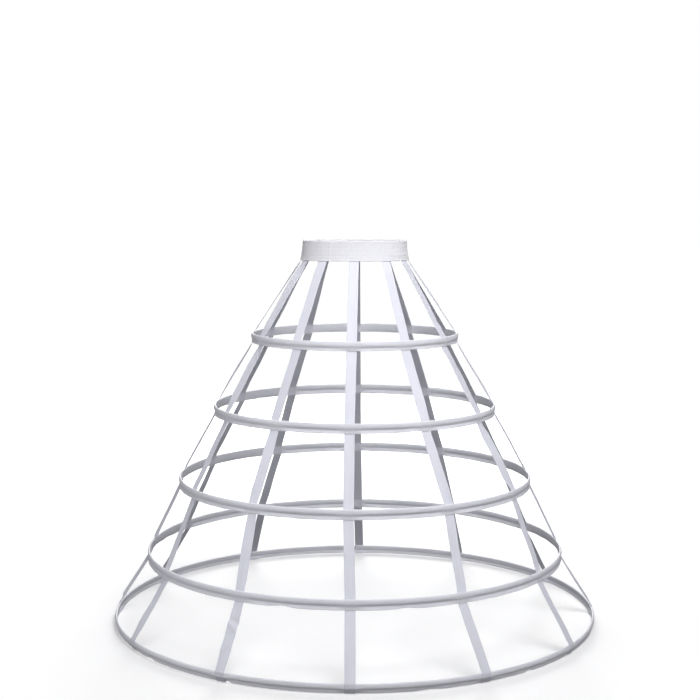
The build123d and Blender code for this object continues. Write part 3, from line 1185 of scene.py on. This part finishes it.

# The floor's painted light, an emission: it glows white far out, as the background is, and less under the
# cage.
FLOOR_SIDE = 60.0
FLOOR_LEVEL = -0.5 * MM
FAR_GLOW = (1.0, 1.0, 1.0)
NEAR_GLOW = (0.22, 0.22, 0.22)
GLOW_SCALE = 0.33
GLOW_RANGE = (0.1, 0.8)


def place_camera():
    scene = bpy.context.scene
    lens = bpy.data.cameras.new("camera")
    lens.sensor_width = SENSOR
    lens.lens = FOCAL_PIXELS / IMAGE_SIDE * SENSOR
    camera = bpy.data.objects.new("camera", lens)
    scene.collection.objects.link(camera)
    camera.location = (
        CAMERA_DISTANCE * sin(CAMERA_TURN), -CAMERA_DISTANCE * cos(CAMERA_TURN), CAMERA_HEIGHT,
    )
    pan = CAMERA_TURN + (AXIS_PIXEL - IMAGE_SIDE / 2) / FOCAL_PIXELS
    camera.rotation_euler = (pi / 2 - CAMERA_PITCH, 0.0, pan)
    scene.camera = camera


def lay_floor():
    bpy.ops.object.select_all(action="DESELECT")
    bpy.ops.mesh.primitive_plane_add(size=FLOOR_SIDE, location=(0.0, 0.0, FLOOR_LEVEL))
    floor = bpy.context.object
    floor.name = "floor"
    at_origin(floor)
    floor_shader = Shader("floor_paint_and_painted_glow")
    grain = floor_shader.noise(floor_shader.object_place((3.0, 3.0, 3.0)), detail=5.0)
    colour = floor_shader.tone(grain, (0.86, 0.86, 0.87), (0.88, 0.88, 0.885))
    give_material(floor, floor_shader.finish(colour, floor_shader.bump(grain, 0.0005, 0.05), 0.8))
    # Painted light: the floor's glow fades from white far out to dim under the cage, standing in for lamp
    # light.
    near = floor_shader.add("ShaderNodeTexGradient", gradient_type="SPHERICAL")
    floor_shader.join(floor_shader.object_place((GLOW_SCALE,) * 3), near.inputs["Vector"])
    glow = floor_shader.tone(near.outputs["Fac"], FAR_GLOW, NEAR_GLOW, *GLOW_RANGE)
    floor_shader.join(glow, floor_shader.surface.inputs["Emission Color"])
    floor_shader.surface.inputs["Emission Strength"].default_value = 1.0
    floor.visible_diffuse = False
    floor.visible_glossy = False


def light_room():
    """White behind everything that the camera sees, and a little light from all round."""
    scene = bpy.context.scene
    world = bpy.data.worlds.new("studio")
    scene.world = world
    world.use_nodes = True
    nodes, links = world.node_tree.nodes, world.node_tree.links
    seen = nodes["Background"]
    seen.inputs["Color"].default_value = (1.0, 1.0, 1.0, 1.0)
    seen.inputs["Strength"].default_value = 1.0
    room = nodes.new("ShaderNodeBackground")
    room.inputs["Color"].default_value = ROOM_COLOUR
    room.inputs["Strength"].default_value = ROOM_LIGHT
    path = nodes.new("ShaderNodeLightPath")
    mix = nodes.new("ShaderNodeMixShader")
    links.new(path.outputs["Is Camera Ray"], mix.inputs["Fac"])
    links.new(room.outputs["Background"], mix.inputs[1])
    links.new(seen.outputs["Background"], mix.inputs[2])
    links.new(mix.outputs["Shader"], nodes["World Output"].inputs["Surface"])
    scene.view_settings.view_transform = "Standard"


def add_light(name, place, target, size, spread, power):
    light = bpy.data.lights.new(name, "AREA")
    light.shape = "DISK"
    light.size = size
    light.spread = radians(spread)
    light.energy = power
    lamp = bpy.data.objects.new(name, light)
    bpy.context.scene.collection.objects.link(lamp)
    lamp.location = place
    lamp.rotation_euler = (Vector(target) - Vector(place)).to_track_quat("-Z", "Y").to_euler()


def studio():
    place_camera()
    lay_floor()
    for name, place, aim, size, spread, power in LIGHTS:
        add_light(name, place, (0.0, 0.0, aim), size, spread, power)
    light_room()


def build():
    """The cage's cloth, ribbons and thread on the frame's steels, joiners and elastic."""
    casing = casing_cloth()
    ribbon = tape_ribbon()
    thread = sewing_thread()
    nodes = frame["nodes"]
    steel, joiner = sheathed_steel(), joiner_steel()
    for hoop in range(HOOPS):
        give_material(nodes[f"hoop_{hoop + 1}_steel"], steel)
        give_material(nodes[f"hoop_{hoop + 1}_joiner"], joiner)
        piece, breadth = hoop_casing(hoop, casing)
        length = 2 * pi * HOOP_CIRCLES[hoop][0]
        sewing(hoop, thread)
    give_material(nodes["waist_elastic"], elastic_webbing())
    band, girth = waistband(shirred_cloth())
    waist_sewing(thread)
    for index in range(TAPES):
        piece, length = tape(index, ribbon)


studio()
build()
